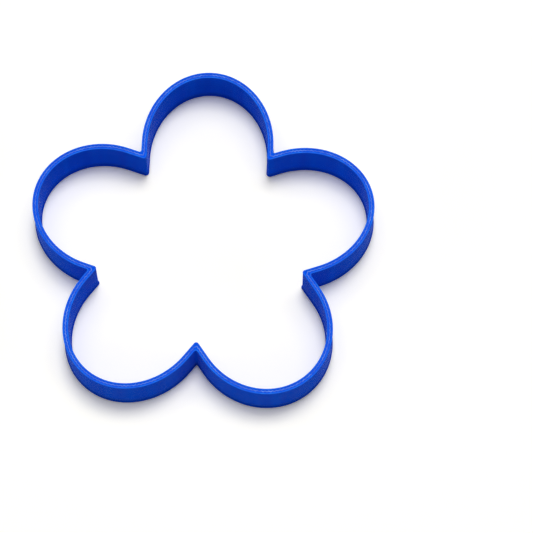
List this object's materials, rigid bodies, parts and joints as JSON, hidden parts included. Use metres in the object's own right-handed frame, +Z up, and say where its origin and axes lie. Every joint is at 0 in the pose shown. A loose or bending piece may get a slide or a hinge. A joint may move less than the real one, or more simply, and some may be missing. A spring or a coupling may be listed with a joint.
{
  "type": "cookie cutter",
  "caption": "Flower-shaped cookie cutter: an upright plastic wall bent into rounded petals, open through the middle, that is pressed down through rolled dough.",
  "frame": {"origin": "middle of the outline's box, in the plane of the bottom edge that the cutter stands on", "axes": "+Z up, from the foot to the rim; +Y along the first petal; +X along the widest stretch of the flower"},
  "size_m": [0.0884, 0.0868, 0.0127],
  "materials": {
    "blue_plastic": "satin, fused layers and beads"
  },
  "bodies": {
    "root": {"cutter_wall": "blue_plastic"}
  },
  "joints": []
}
